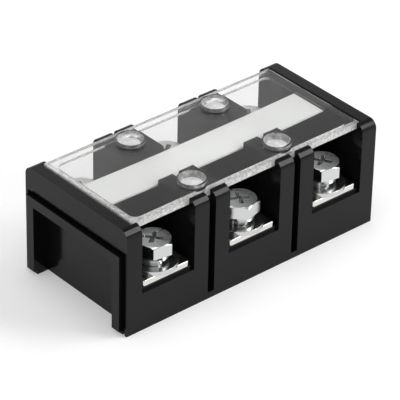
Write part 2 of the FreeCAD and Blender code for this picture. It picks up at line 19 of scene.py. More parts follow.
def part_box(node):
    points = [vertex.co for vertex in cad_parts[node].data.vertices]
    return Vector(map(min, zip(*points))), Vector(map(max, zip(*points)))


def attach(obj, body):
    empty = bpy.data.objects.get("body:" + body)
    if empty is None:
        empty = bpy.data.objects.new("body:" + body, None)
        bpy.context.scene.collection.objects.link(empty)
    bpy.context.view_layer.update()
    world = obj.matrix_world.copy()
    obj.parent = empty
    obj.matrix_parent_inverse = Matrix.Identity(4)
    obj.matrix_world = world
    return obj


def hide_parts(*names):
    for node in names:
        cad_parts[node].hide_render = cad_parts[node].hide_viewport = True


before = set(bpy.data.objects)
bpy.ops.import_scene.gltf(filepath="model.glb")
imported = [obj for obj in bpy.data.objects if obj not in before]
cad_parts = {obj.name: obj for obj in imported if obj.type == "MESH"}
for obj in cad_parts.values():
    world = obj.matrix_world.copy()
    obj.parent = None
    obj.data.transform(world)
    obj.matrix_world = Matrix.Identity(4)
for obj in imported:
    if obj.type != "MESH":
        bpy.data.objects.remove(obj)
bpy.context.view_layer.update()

LOG = logging.getLogger("terminal_strip")

MM = 0.001
IMAGE_WIDTH_PX = 400
SENSOR_WIDTH_MM = 36.0

JOIN_DISTANCE = 1e-7
LEVEL_SLACK = 0.01 * MM
ROUND_STEPS = 2
THREAD_SIDES = 28
THREAD_RINGS_PER_TURN = 9
FLANK_STEEPNESS = 2.4
CREST_WIDTH = 0.1

Color = tuple[float, float, float]


class Row(Enum):
    """The two rows of wire entries."""

    FRONT = "front"
    REAR = "rear"


class Slot(Enum):
    """Material slots of the record."""

    BLACK = "black_plastic"
    CLEAR = "clear_plastic"
    WHITE = "white_plastic"
    BAR = "plated_bar"
    STEEL = "plated_steel"


POLES = (1, 2, 3)


# Shader building blocks


class Nodes:
    """Short way to add and join shader nodes in one node tree."""

    def __init__(self, tree: bpy.types.NodeTree) -> None:
        """Start from an empty tree.

        Args:
            tree: Node tree of a material, a world or a group.
        """
        self.tree = tree
        self.column = 0
        tree.nodes.clear()

    def add(self, kind: str, **settings: object) -> bpy.types.Node:
        """Add a node and set its properties.

        Args:
            kind: Blender's type name of the node.
            settings: Properties to set on it by name.

        Returns:
            The new node.
        """
        node = self.tree.nodes.new(kind)
        node.location = (220 * self.column, 0)
        self.column += 1
        for name, value in settings.items():
            setattr(node, name, value)
        return node

    def join(self, start: bpy.types.NodeSocket, end: bpy.types.NodeSocket) -> None:
        """Link two sockets."""
        self.tree.links.new(start, end)

    def math(self, operation: str, first: object, second: object) -> bpy.types.NodeSocket:
        """Math node whose two inputs are numbers or sockets.

        Args:
            operation: Blender's name of the operation.
            first: Number or output socket.
            second: Number or output socket.

        Returns:
            The node's output.
        """
        node = self.add("ShaderNodeMath", operation=operation)
        for index, value in enumerate((first, second)):
            if isinstance(value, bpy.types.NodeSocket):
                self.join(value, node.inputs[index])
            else:
                node.inputs[index].default_value = value
        return node.outputs[0]


def new_group(name: str, inputs: dict[str, float],
              outputs: dict[str, str]) -> tuple[bpy.types.NodeTree, Nodes]:
    """Empty shader group with its interface.

    Args:
        name: Name of the group.
        inputs: Float inputs with their usual values.
        outputs: Outputs with their socket types.

    Returns:
        The group's tree and its node helper.
    """
    tree = bpy.data.node_groups.new(name, "ShaderNodeTree")
    for label, value in inputs.items():
        socket = tree.interface.new_socket(label, in_out="INPUT", socket_type="NodeSocketFloat")
        socket.default_value = value
    for label, kind in outputs.items():
        tree.interface.new_socket(label, in_out="OUTPUT", socket_type=kind)
    return tree, Nodes(tree)


class SurfaceEffects:
    """Shader groups that several finishes share."""

    def __init__(self) -> None:
        """Build every group once."""
        self.grain = self._grain()
        self.marks = self._marks()
        self.brushing = self._brushing()

    @staticmethod
    def _grain() -> bpy.types.NodeTree:
        """Fine moulded or plated grain.

        Returns:
            Group with Cell Size and Contrast in, and a height and a mask out.
        """
        tree, nodes = new_group(
            "fine_grain", {"Cell Size": 0.0004, "Contrast": 1.0},
            {"Height": "NodeSocketFloat", "Mask": "NodeSocketFloat"})
        entry, leave = nodes.add("NodeGroupInput"), nodes.add("NodeGroupOutput")
        place = nodes.add("ShaderNodeTexCoord")
        scale = nodes.math("DIVIDE", 1.0, entry.outputs["Cell Size"])
        noise = nodes.add("ShaderNodeTexNoise")
        noise.inputs["Detail"].default_value = 3.0
        nodes.join(place.outputs["Object"], noise.inputs["Vector"])
        nodes.join(scale, noise.inputs["Scale"])
        centred = nodes.math("SUBTRACT", noise.outputs["Fac"], 0.5)
        strong = nodes.math("MULTIPLY", centred, entry.outputs["Contrast"])
        mask = nodes.math("ADD", strong, 0.5)
        nodes.join(noise.outputs["Fac"], leave.inputs["Height"])
        nodes.join(mask, leave.inputs["Mask"])
        return tree

    @staticmethod
    def _marks() -> bpy.types.NodeTree:
        """Soft handling marks and dust that dull a surface in patches.

        Returns:
            Group with Patch Size, Low and High in, and a value between Low and High out.
        """
        tree, nodes = new_group(
            "handling_marks", {"Patch Size": 0.008, "Low": 0.2, "High": 0.3}, {"Value": "NodeSocketFloat"})
        entry, leave = nodes.add("NodeGroupInput"), nodes.add("NodeGroupOutput")
        place = nodes.add("ShaderNodeTexCoord")
        scale = nodes.math("DIVIDE", 1.0, entry.outputs["Patch Size"])
        noise = nodes.add("ShaderNodeTexNoise")
        noise.inputs["Detail"].default_value = 5.0
        noise.inputs["Roughness"].default_value = 0.62
        nodes.join(place.outputs["Object"], noise.inputs["Vector"])
        nodes.join(scale, noise.inputs["Scale"])
        spread = nodes.add("ShaderNodeMapRange")
        spread.inputs["From Min"].default_value = 0.35
        spread.inputs["From Max"].default_value = 0.65
        nodes.join(noise.outputs["Fac"], spread.inputs["Value"])
        nodes.join(entry.outputs["Low"], spread.inputs["To Min"])
        nodes.join(entry.outputs["High"], spread.inputs["To Max"])
        nodes.join(spread.outputs["Result"], leave.inputs["Value"])
        return tree

    @staticmethod
    def _brushing() -> bpy.types.NodeTree:
        """Fine lines left along one direction by rolling or brushing.

        Returns:
            Group with Line Width and Stretch in, and a height out; the lines run along Y.
        """
        tree, nodes = new_group(
            "rolled_lines", {"Line Width": 0.00015, "Stretch": 14.0}, {"Height": "NodeSocketFloat"})
        entry, leave = nodes.add("NodeGroupInput"), nodes.add("NodeGroupOutput")
        place = nodes.add("ShaderNodeTexCoord")
        parts = nodes.add("ShaderNodeSeparateXYZ")
        nodes.join(place.outputs["Object"], parts.inputs[0])
        along = nodes.math("DIVIDE", parts.outputs["Y"], entry.outputs["Stretch"])
        squeezed = nodes.add("ShaderNodeCombineXYZ")
        nodes.join(parts.outputs["X"], squeezed.inputs["X"])
        nodes.join(along, squeezed.inputs["Y"])
        nodes.join(parts.outputs["Z"], squeezed.inputs["Z"])
        scale = nodes.math("DIVIDE", 1.0, entry.outputs["Line Width"])
        noise = nodes.add("ShaderNodeTexNoise")
        noise.inputs["Detail"].default_value = 2.0
        nodes.join(squeezed.outputs[0], noise.inputs["Vector"])
        nodes.join(scale, noise.inputs["Scale"])
        nodes.join(noise.outputs["Fac"], leave.inputs["Height"])
        return tree


@dataclass(frozen=True)
class Finish:
    """Common parts of a finish: its colour, gloss, grain and marks.

    Attributes:
        name: Name of the material.
        color: Base colour, linear.
        shade: Darkest base colour in the marks.
        roughness: Lowest and highest roughness over the surface.
        patch: Size of the marks, in metres.
        grain: Size of the grain, in metres.
        bump: Depth of the grain, in metres.
        contrast: How strongly the grain changes the colour.
    """

    name: str
    color: Color
    shade: Color
    roughness: tuple[float, float]
    patch: float
    grain: float
    bump: float
    contrast: float = 1.0

    def start(self, effects: SurfaceEffects) -> tuple[bpy.types.Material, Nodes, bpy.types.Node]:
        """Material with its marks and grain joined to a Principled shader.

        Args:
            effects: The shared groups.

        Returns:
            The material, its node helper and its Principled node.
        """
        material = bpy.data.materials.new(self.name)
        material.use_nodes = True
        nodes = Nodes(material.node_tree)
        shader = nodes.add("ShaderNodeBsdfPrincipled")

        marks = nodes.add("ShaderNodeGroup", node_tree=effects.marks)
        marks.inputs["Patch Size"].default_value = self.patch
        marks.inputs["Low"].default_value = self.roughness[0]
        marks.inputs["High"].default_value = self.roughness[1]
        nodes.join(marks.outputs["Value"], shader.inputs["Roughness"])

        grain = nodes.add("ShaderNodeGroup", node_tree=effects.grain)
        grain.inputs["Cell Size"].default_value = self.grain
        grain.inputs["Contrast"].default_value = self.contrast
        blend = nodes.add("ShaderNodeMix", data_type="RGBA")
        blend.inputs["A"].default_value = (*self.shade, 1.0)
        blend.inputs["B"].default_value = (*self.color, 1.0)
        nodes.join(grain.outputs["Mask"], blend.inputs["Factor"])
        nodes.join(blend.outputs["Result"], shader.inputs["Base Color"])

        bump = nodes.add("ShaderNodeBump")
        bump.inputs["Distance"].default_value = self.bump
        nodes.join(grain.outputs["Height"], bump.inputs["Height"])
        nodes.join(bump.outputs["Normal"], shader.inputs["Normal"])

        out = nodes.add("ShaderNodeOutputMaterial")
        nodes.join(shader.outputs["BSDF"], out.inputs["Surface"])
        return material, nodes, shader


@dataclass(frozen=True)
class MouldedPlastic(Finish):
    """Opaque moulded plastic.

    Attributes:
        ior: Index of refraction, which sets how much it mirrors.
    """

    ior: float = 1.45

    def build(self, effects: SurfaceEffects) -> bpy.types.Material:
        """Make the material.

        Args:
            effects: The shared groups.

        Returns:
            The finished material.
        """
        material, _, shader = self.start(effects)
        shader.inputs["IOR"].default_value = self.ior
        return material


@dataclass(frozen=True)
class ClearPlastic(Finish):
    """Clear moulded plastic that lets light through to what it covers.

    Attributes:
        ior: Index of refraction.
        clearness: Share of the light that goes through.
    """

    ior: float = 1.5
    clearness: float = 1.0

    def build(self, effects: SurfaceEffects) -> bpy.types.Material:
        """Make the material; its shadow is light, as clear plastic's is.

        Args:
            effects: The shared groups.

        Returns:
            The finished material.
        """
        material, nodes, shader = self.start(effects)
        shader.inputs["IOR"].default_value = self.ior
        shader.inputs["Transmission Weight"].default_value = self.clearness
        rays = nodes.add("ShaderNodeLightPath")
        gap = nodes.add("ShaderNodeBsdfTransparent")
        gap.inputs["Color"].default_value = (*(math.sqrt(part) for part in self.color), 1.0)
        mix = nodes.add("ShaderNodeMixShader")
        nodes.join(rays.outputs["Is Shadow Ray"], mix.inputs["Fac"])
        nodes.join(shader.outputs["BSDF"], mix.inputs[1])
        nodes.join(gap.outputs["BSDF"], mix.inputs[2])
        out = next(node for node in nodes.tree.nodes if node.type == "OUTPUT_MATERIAL")
        nodes.join(mix.outputs["Shader"], out.inputs["Surface"])
        return material


@dataclass(frozen=True)
class PlatedMetal(Finish):
    """Plated steel or copper.

    Attributes:
        lines: Width of the rolled lines in metres, or 0 for none.
    """

    lines: float = 0.0

    def build(self, effects: SurfaceEffects) -> bpy.types.Material:
        """Make the material.

        Args:
            effects: The shared groups.

        Returns:
            The finished material.
        """
        material, nodes, shader = self.start(effects)
        shader.inputs["Metallic"].default_value = 1.0
        if self.lines:
            rolled = nodes.add("ShaderNodeGroup", node_tree=effects.brushing)
            rolled.inputs["Line Width"].default_value = self.lines
            first = next(node for node in nodes.tree.nodes if node.type == "BUMP")
            second = nodes.add("ShaderNodeBump")
            second.inputs["Distance"].default_value = self.bump
            nodes.join(rolled.outputs["Height"], second.inputs["Height"])
            nodes.join(first.outputs["Normal"], second.inputs["Normal"])
            nodes.join(second.outputs["Normal"], shader.inputs["Normal"])
        return material


BASE_BLACK = MouldedPlastic(
    "black_moulding", (0.0055, 0.0055, 0.0057), (0.004, 0.004, 0.0042), (0.12, 0.2),
    0.009, 0.001, 0.000001, ior=1.27)
COVER_CLEAR = ClearPlastic(
    "clear_cover", (0.87, 0.875, 0.87), (0.84, 0.845, 0.84), (0.02, 0.05), 0.012, 0.002, 0.000003,
    ior=1.42)
COVER_FROSTED = ClearPlastic(
    "frosted_rim", (0.96, 0.96, 0.95), (0.42, 0.42, 0.415), (0.3, 0.5), 0.002, 0.0008, 0.00008,
    clearness=0.3, contrast=2.6)
# Milky cup walls: the white colour and its mottled streaks are painted reflection for the grazing reflections
# in the clear walls.
CUP_WALL_PAINTED_REFLECTION = ClearPlastic(
    "milky_cup_wall_painted_reflection", (0.97, 0.97, 0.97), (0.4, 0.4, 0.4), (0.06, 0.12), 0.001, 0.0012, 0.00004,
    clearness=0.55, contrast=2.5)
# Milky cup floors: the white colour is a painted highlight for the overhead softbox mirrored in the domed
# floor.
CUP_FLOOR_PAINTED_HIGHLIGHT = ClearPlastic(
    "milky_cup_floor_painted_highlight", (0.98, 0.98, 0.98), (0.7, 0.7, 0.7), (0.08, 0.14), 0.001, 0.0012, 0.00002,
    clearness=0.2, contrast=2.0)
STRIP_WHITE = MouldedPlastic(
    "white_marking_strip", (0.88, 0.88, 0.87), (0.84, 0.84, 0.83), (0.5, 0.62), 0.006, 0.0003, 0.000003)
BAR_PLATE = PlatedMetal(
    "nickel_plated_bar", (0.84, 0.825, 0.79), (0.6, 0.59, 0.565), (0.14, 0.22), 0.0025, 0.0002,
    0.000003, lines=0.00012)
SCREW_PLATE = PlatedMetal(
    "zinc_plated_screw", (0.7, 0.71, 0.705), (0.56, 0.57, 0.565), (0.12, 0.2), 0.0015, 0.00025, 0.000003)
# Stamped top of the heads: rougher than the screw, and its lighter colour is painted sheen for the light on
# the top face.
HEAD_TOP_PAINTED_SHEEN = PlatedMetal(
    "stamped_head_top_painted_sheen", (0.9, 0.91, 0.905), (0.62, 0.63, 0.625), (0.26, 0.38), 0.0012, 0.00025,
    0.000006, contrast=1.2)
WASHER_PLATE = PlatedMetal(
    "zinc_plated_washer", (0.62, 0.63, 0.625), (0.57, 0.58, 0.575), (0.18, 0.24), 0.002, 0.0002, 0.000001)
SPRING_PLATE = PlatedMetal(
    "zinc_plated_spring", (0.8, 0.81, 0.805), (0.6, 0.61, 0.605), (0.26, 0.38), 0.0015, 0.0002, 0.000003)
NUT_PLATE = PlatedMetal(
    "zinc_plated_nut", (0.8, 0.8, 0.78), (0.62, 0.62, 0.6), (0.25, 0.4), 0.003, 0.0004, 0.000006)


# Mesh helpers


def cad_mesh(node: str) -> bmesh.types.BMesh:
    """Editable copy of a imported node's mesh with its vertices joined.

    Args:
        node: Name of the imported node.

    Returns:
        The copy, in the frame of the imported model.
    """
    mesh = bmesh.new()
    mesh.from_mesh(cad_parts[node].data)
    bmesh.ops.remove_doubles(mesh, verts=mesh.verts, dist=JOIN_DISTANCE)
    return mesh


def soften(mesh: bmesh.types.BMesh, width: float, segments: int, flat: float, sharp: float) -> None:
    """Join flat facets into faces and round the sharp edges a little.

    Args:
        mesh: Mesh to change.
        width: Width of the rounding in metres.
        segments: Steps across the rounding.
        flat: Largest angle between facets of one flat face, in degrees.
        sharp: Smallest angle of an edge that is rounded, in degrees.
    """
    bmesh.ops.dissolve_limit(
        mesh, angle_limit=math.radians(flat), verts=mesh.verts, edges=mesh.edges,
        delimit={"MATERIAL"})
    corners = [edge for edge in mesh.edges
               if len(edge.link_faces) == 2 and edge.calc_face_angle(0.0) > math.radians(sharp)]
    bmesh.ops.bevel(
        mesh, geom=corners, offset=width, offset_type="OFFSET", segments=segments, profile=0.5,
        affect="EDGES", clamp_overlap=True, miter_outer="ARC", harden_normals=False)


def finish_mesh(mesh: bmesh.types.BMesh, name: str, smooth: float) -> bpy.types.Object:
    """Turn an editable mesh into a shown object with smooth shading below an angle.

    Args:
        mesh: Finished mesh; it is freed.
        name: Name of the new piece.
        smooth: Largest angle that is shaded smooth, in degrees.

    Returns:
        The new object, at the origin of the frame.
    """
    data = bpy.data.meshes.new(name)
    mesh.to_mesh(data)
    mesh.free()
    data.shade_smooth()
    data.set_sharp_from_angle(angle=math.radians(smooth))
    piece = bpy.data.objects.new(name, data)
    bpy.context.scene.collection.objects.link(piece)
    weighted = piece.modifiers.new("even_normals", "WEIGHTED_NORMAL")
    weighted.keep_sharp = True
    return piece


def settle(piece: bpy.types.Object, body: str, nodes: Iterable[str],
           materials: Iterable[bpy.types.Material]) -> None:
    """Give a piece its body, the nodes it stands for and its materials.

    Args:
        piece: The new piece.
        body: Body that it moves with.
        nodes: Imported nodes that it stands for.
        materials: Materials, first one first.
    """
    for material in materials:
        piece.data.materials.append(material)
    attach(piece, body)
    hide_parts(*nodes)
    LOG.info("%s: %d faces on %s", piece.name, len(piece.data.polygons), body)


# Sub-assemblies


@dataclass
class Base:
    """Black moulding with the marking strip in it.

    Attributes:
        edge_round: Round on the moulding's sharp edges.
        strip_round: Round on the strip's edges.
    """

    edge_round: float = 0.22 * MM
    strip_round: float = 0.06 * MM

    def build(self, black: bpy.types.Material, white: bpy.types.Material) -> None:
        """Make the moulding and the strip.

        Args:
            black: Finish of the moulding.
            white: Finish of the strip.
        """
        mesh = cad_mesh("housing")
        soften(mesh, self.edge_round, ROUND_STEPS, 0.5, 35.0)
        piece = finish_mesh(mesh, "base_moulding", 40.0)
        settle(piece, "base", ["housing"], [black])

        mesh = cad_mesh("marking_strip")
        soften(mesh, self.strip_round, ROUND_STEPS, 0.2, 60.0)
        piece = finish_mesh(mesh, "marking_sheet", 30.0)
        settle(piece, "base", ["marking_strip"], [white])


class CoverFace(Enum):
    """Places of the cover's finishes in its list of materials."""

    CLEAR = 0
    FROSTED = 1
    CUP_WALL_PAINTED_REFLECTION = 2
    CUP_FLOOR_PAINTED_HIGHLIGHT = 3


COVER_FINISHES = {
    CoverFace.CLEAR: COVER_CLEAR, CoverFace.FROSTED: COVER_FROSTED,
    CoverFace.CUP_WALL_PAINTED_REFLECTION: CUP_WALL_PAINTED_REFLECTION, CoverFace.CUP_FLOOR_PAINTED_HIGHLIGHT: CUP_FLOOR_PAINTED_HIGHLIGHT}


@dataclass
class Cover:
    """Clear cover with its rim and cups.

    Attributes:
        edge_round: Round on the cover's sharp edges.
        rim_width: Width of the frosted rim.
        rim_height: Height of the rim, plate included.
        corner_round: Reach of the rounds in the rim's inner corners.
        plate: Thickness of the plate.
        cup_radius: Outside of a cup.
        mouth_radius: Inside of a cup at its mouth.
        lip_radius: Inside of the thin lip round the mouth.
        cup_wall: Inside of a cup below its lip, as radii and depths below the mouth.
        cup_floor: Domed floor of a cup out to its middle, given as the wall is.
    """

    edge_round: float = 0.12 * MM
    rim_width: float = 2.2 * MM
    rim_height: float = 2.0 * MM
    corner_round: float = 2.0 * MM
    plate: float = 1.25 * MM
    cup_radius: float = 4.2 * MM
    mouth_radius: float = 3.3 * MM
    lip_radius: float = 3.9 * MM
    cup_wall: tuple[tuple[float, float], ...] = (
        (3.75 * MM, 0.35 * MM), (3.5 * MM, 1.0 * MM), (3.25 * MM, 1.5 * MM), (3.0 * MM, 1.75 * MM))
    cup_floor: tuple[tuple[float, float], ...] = (
        (2.7 * MM, 1.8 * MM), (2.2 * MM, 1.55 * MM), (1.6 * MM, 1.3 * MM), (1.0 * MM, 1.12 * MM),
        (0.45 * MM, 1.03 * MM))

    def build(self, finishes: dict[CoverFace, bpy.types.Material]) -> None:
        """Make the cover with clear faces, a frosted rim and milky cups, whose white is painted reflection
        and painted highlight.

        Args:
            finishes: Finish for each kind of face.
        """
        low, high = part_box("cover")
        mesh = cad_mesh("cover")
        self._frost_rim(mesh, low, high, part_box("housing")[1].z)
        cups = self._cup_centres(mesh, high.z)
        for cup in cups:
            self._shape_cup(mesh, cup)
        soften(mesh, self.edge_round, ROUND_STEPS, 0.5, 35.0)
        piece = finish_mesh(mesh, "clear_cover_moulding", 35.0)
        settle(piece, "cover", ["cover"], [finishes[kind] for kind in CoverFace])

    def _frost_rim(self, mesh: bmesh.types.BMesh, low: Vector, high: Vector, top: float) -> None:
        """Mark the rim along the front and low X edge, and the rear edge, as frosted.

        Args:
            mesh: Mesh of the cover.
            low: Low corner of the cover's box.
            high: High corner of the cover's box.
            top: Height of the plate's top.
        """
        for axis, places in ((0, (low.x, high.x)), (1, (low.y, high.y))):
            for place, way in zip(places, (1, -1)):
                point, normal = Vector((0, 0, 0)), Vector((0, 0, 0))
                point[axis], normal[axis] = place + way * self.rim_width, 1.0
                bmesh.ops.bisect_plane(
                    mesh, geom=mesh.verts[:] + mesh.edges[:] + mesh.faces[:], dist=JOIN_DISTANCE,
                    plane_co=point, plane_no=normal)
        for face in mesh.faces:
            spot = face.calc_center_median()
            insets = (spot.x - low.x, spot.y - low.y)
            level = top - self.rim_height * 1.05 < spot.z < top - 0.02 * MM
            on_rim = min(insets) < self.rim_width * 1.02 and face.normal.z < 0.5
            on_corner = max(insets) < self.rim_width + self.corner_round and spot.z < top - self.plate
            on_back = high.y - spot.y < LEVEL_SLACK
            if level and (on_rim or on_corner or on_back):
                face.material_index = CoverFace.FROSTED.value

    def _cup_centres(self, mesh: bmesh.types.BMesh, mouth: float) -> list[Vector]:
        """Middles of the cups' mouths.

        Args:
            mesh: Mesh of the cover.
            mouth: Height of the mouths.

        Returns:
            One point for each cup.
        """
        groups: list[list[Vector]] = []
        for vert in mesh.verts:
            if abs(vert.co.z - mouth) > LEVEL_SLACK:
                continue
            for group in groups:
                if (group[0] - vert.co).length < 2.1 * self.cup_radius:
                    group.append(vert.co.copy())
                    break
            else:
                groups.append([vert.co.copy()])
        centres = []
        for group in groups:
            spread = [(min(p[k] for p in group) + max(p[k] for p in group)) / 2 for k in range(2)]
            centres.append(Vector((spread[0], spread[1], mouth)))
        return centres

    def _shape_cup(self, mesh: bmesh.types.BMesh, centre: Vector) -> None:
        """Give a cup its smooth inside with a raised floor.

        Args:
            mesh: Mesh of the cover.
            centre: Middle of the cup's mouth.
        """
        def reach(vert: bmesh.types.BMVert) -> float:
            """Distance of a vertex from the cup's axis."""
            return (vert.co.xy - centre.xy).length

        inside = [face for face in mesh.faces
                  if all(reach(vert) < self.mouth_radius + 0.03 * MM for vert in face.verts)]
        bmesh.ops.delete(mesh, geom=inside, context="FACES")
        loop = [edge for edge in mesh.edges
                if edge.is_boundary and all(reach(vert) < self.cup_radius for vert in edge.verts)]
        rim = {vert for edge in loop for vert in edge.verts}
        self._place_ring(rim, centre, self.lip_radius, 0.0)
        # The cups' walls and floors take the milky finishes, whose white is painted reflection and painted
        # highlight.
        rings = [(step, CoverFace.CUP_WALL_PAINTED_REFLECTION) for step in self.cup_wall]
        rings += [(step, CoverFace.CUP_FLOOR_PAINTED_HIGHLIGHT) for step in self.cup_floor]
        for (radius, depth), kind in rings:
            made = bmesh.ops.extrude_edge_only(mesh, edges=loop)["geom"]
            self._place_ring(
                [item for item in made if isinstance(item, bmesh.types.BMVert)], centre, radius, depth)
            loop = [item for item in made
                    if isinstance(item, bmesh.types.BMEdge) and item.is_boundary]
            for item in made:
                if isinstance(item, bmesh.types.BMFace):
                    item.material_index = kind.value
        for face in bmesh.ops.contextual_create(mesh, geom=loop)["faces"]:
            face.material_index = CoverFace.CUP_FLOOR_PAINTED_HIGHLIGHT.value
        bmesh.ops.recalc_face_normals(mesh, faces=mesh.faces)

    @staticmethod
    def _place_ring(ring: Iterable[bmesh.types.BMVert], centre: Vector, radius: float, depth: float) -> None:
        """Move the vertices of a ring to a radius and a depth.

        Args:
            ring: Vertices to move.
            centre: Middle of the cup's mouth.
            radius: New distance from the cup's axis.
            depth: New depth below the mouth.
        """
        for vert in ring:
            way = (vert.co.xy - centre.xy).normalized() * radius
            vert.co = Vector((centre.x + way.x, centre.y + way.y, centre.z - depth))


@dataclass
class CurrentBar:
    """Flat bar through the base.

    Attributes:
        pole: Number of the pole, from the joining pad's end.
        edge_round: Round on the bar's edges.
    """

    pole: int
    edge_round: float = 0.15 * MM

    def build(self, plate: bpy.types.Material) -> None:
        """Make the bar.

        Args:
            plate: Finish of the bar.
        """
        node = "terminal_bar_%d" % self.pole
        mesh = cad_mesh(node)
        soften(mesh, self.edge_round, ROUND_STEPS, 0.5, 35.0)
        piece = finish_mesh(mesh, "current_bar_%d" % self.pole, 40.0)
        settle(piece, "base", [node], [plate])


@dataclass
class ScrewSet:
    """One screw with its thread, spring washer, flat washer and nut.

    Attributes:
        row: Row that the screw stands in.
        pole: Number of the pole.
        head_height: Height of the head above its seat.
        radius: Outside of the thread.
        pitch: Rise of the thread in one turn.
        depth: Depth of the thread.
        neck: Plain length under the head.
        tip: Chamfer at the tip.
        edge_round: Round on the head's edges.
        washer_round: Round on the washers' edges.
    """

    row: Row
    pole: int
    head_height: float = 3.9 * MM
    radius: float = 3.0 * MM
    pitch: float = 1.0 * MM
    depth: float = 0.54 * MM
    neck: float = 1.2 * MM
    tip: float = 0.8 * MM
    edge_round: float = 0.12 * MM
    washer_round: float = 0.1 * MM

    @property
    def tag(self) -> str:
        """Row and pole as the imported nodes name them."""
        return "%s_%d" % (self.row.value, self.pole)

    def build(self, screw: bpy.types.Material, top: bpy.types.Material, spring: bpy.types.Material,
              washer: bpy.types.Material, nut: bpy.types.Material) -> None:
        """Make the screw and what it carries.

        Args:
            screw: Finish of the screw.
            top: Finish of the head's stamped top, rougher than the screw, with a lighter colour that is
                painted sheen.
            spring: Finish of the spring washer.
            washer: Finish of the flat washer.
            nut: Finish of the nut.
        """
        node = "screw_" + self.tag
        low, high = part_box(node)
        seat = high.z - self.head_height
        head = cad_mesh(node)
        shank = [face for face in head.faces if any(v.co.z < seat - LEVEL_SLACK for v in face.verts)]
        bmesh.ops.delete(head, geom=shank, context="FACES")
        # The head's top face takes the finish whose lighter colour is painted sheen.
        for face in head.faces:
            if face.normal.z > 0.99 and face.calc_center_median().z > high.z - 0.05 * MM:
                face.material_index = 1
        soften(head, self.edge_round, ROUND_STEPS, 0.5, 20.0)
        nut_low, nut_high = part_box("nut_" + self.tag)
        centre = (nut_low + nut_high) / 2
        self._add_thread(head, centre, low.z, seat)
        piece = finish_mesh(head, "hex_screw_" + self.tag, 35.0)
        settle(piece, "screw_" + self.tag, [node], [screw, top])

        body = "washers_" + self.tag
        for kind, name, material in (("spring_washer", "split_washer", spring),
                                     ("flat_washer", "plain_washer", washer)):
            source = "%s_%s" % (kind, self.tag)
            mesh = cad_mesh(source)
            soften(mesh, self.washer_round, ROUND_STEPS, 0.3, 40.0)
            piece = finish_mesh(mesh, "%s_%s" % (name, self.tag), 40.0)
            settle(piece, body, [source], [material])

        source = "nut_" + self.tag
        mesh = cad_mesh(source)
        soften(mesh, self.washer_round, ROUND_STEPS, 0.5, 40.0)
        piece = finish_mesh(mesh, "square_nut_" + self.tag, 40.0)
        settle(piece, "base", [source], [nut])

    def _add_thread(self, mesh: bmesh.types.BMesh, centre: Vector, low: float, seat: float) -> None:
        """Add the threaded shank to a head's mesh.

        Args:
            mesh: Mesh to add to.
            centre: Any point on the screw's axis.
            low: Height of the screw's tip.
            seat: Height of the head's underside.
        """
        around = THREAD_SIDES
        steps = THREAD_RINGS_PER_TURN * round((seat - low) / self.pitch)
        rings = []
        for step in range(steps + 1):
            height = low + (seat - low) * step / steps
            ring = []
            for k in range(around):
                angle = 2 * math.pi * k / around
                place = Vector((centre.x, centre.y, 0.0))
                reach = self._reach(height, angle, low, seat)
                place += Vector((reach * math.cos(angle), reach * math.sin(angle), height))
                ring.append(mesh.verts.new(place))
            rings.append(ring)
        for below, above in zip(rings, rings[1:]):
            for k in range(around):
                after = (k + 1) % around
                mesh.faces.new((below[k], below[after], above[after], above[k]))
        mesh.faces.new(list(reversed(rings[0])))
        mesh.faces.new(rings[-1])

    def _reach(self, height: float, angle: float, low: float, seat: float) -> float:
        """Radius of the threaded shank at a height and an angle.

        Args:
            height: Height in the frame.
            angle: Angle about the axis, in radians.
            low: Height of the tip.
            seat: Height of the head's underside.

        Returns:
            The radius in metres.
        """
        phase = ((height - low) / self.pitch - angle / (2 * math.pi)) % 1.0
        flank = 1.0 - min(1.0, max(0.0, abs(phase - 0.5) * FLANK_STEEPNESS - CREST_WIDTH))
        fade = min(1.0, max(0.0, (seat - self.neck - height) / self.pitch + 1.0))
        reach = self.radius - self.depth * flank * fade
        return min(reach, self.radius - self.tip + (height - low))


# Studio


@dataclass(frozen=True)
class Softbox:
    """Soft lamp that faces the strip.

    Attributes:
        name: Name of the lamp.
        place: Middle of its face.
        long_side: Direction of its long side.
        width: Short side of its face.
        length: Long side of its face.
        glow: Brightness of its face.
        mirrored_only: True for a card that only mirrors show.
    """

    name: str
    place: Color
    long_side: Color
    width: float
    length: float
    glow: float
    mirrored_only: bool = False

    def build(self, target: Vector) -> None:
        """Hang the lamp.

        Args:
            target: Point that it faces.
        """
        lamp = bpy.data.lights.new(self.name, "AREA")
        lamp.shape = "RECTANGLE"
        lamp.size = self.width
        lamp.size_y = self.length
        lamp.energy = self.glow * math.pi * self.width * self.length
        holder = bpy.data.objects.new(self.name, lamp)
        back = (Vector(self.place) - target).normalized()
        across = Vector(self.long_side).cross(back).normalized()
        axes = Matrix((across, back.cross(across), back)).transposed().to_4x4()
        holder.matrix_world = Matrix.Translation(Vector(self.place)) @ axes
        holder.visible_camera = not self.mirrored_only
        holder.visible_transmission = not self.mirrored_only
        bpy.context.scene.collection.objects.link(holder)


